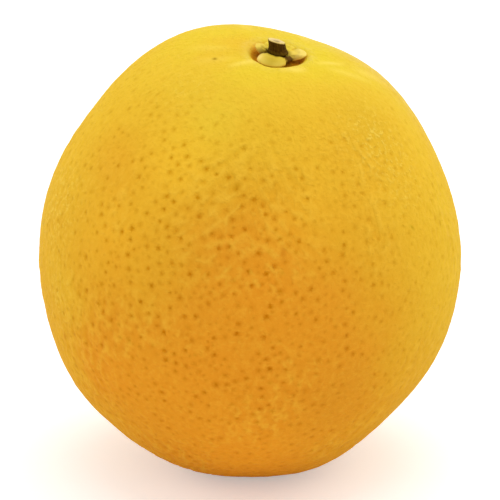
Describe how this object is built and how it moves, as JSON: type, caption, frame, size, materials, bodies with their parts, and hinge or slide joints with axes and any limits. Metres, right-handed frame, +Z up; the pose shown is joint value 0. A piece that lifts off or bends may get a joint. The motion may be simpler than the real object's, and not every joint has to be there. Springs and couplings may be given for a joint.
{
  "type": "orange",
  "caption": "Whole sweet orange with pitted rind, a calyx in the dip at its stalk end and a short cut stalk, resting upright on a flat spot.",
  "frame": {"origin": "on the surface the fruit rests on, under the middle of its width and depth", "axes": "+Z up through the fruit from the flat spot to the stalk end, which leans a little to +X and -Y; +X to the right and -Y to the front"},
  "size_m": [0.0778, 0.0778, 0.0829],
  "materials": {
    "rind": "waxy, finely pitted with oil glands, soft sheen",
    "calyx": "dry, matt, pale yellow-green with tan edges",
    "stalk": "dark brown bark, matt, with a pale cut end"
  },
  "bodies": {
    "root": {"fruit": "rind", "calyx": "calyx", "stem_stub": "stalk"}
  },
  "joints": []
}
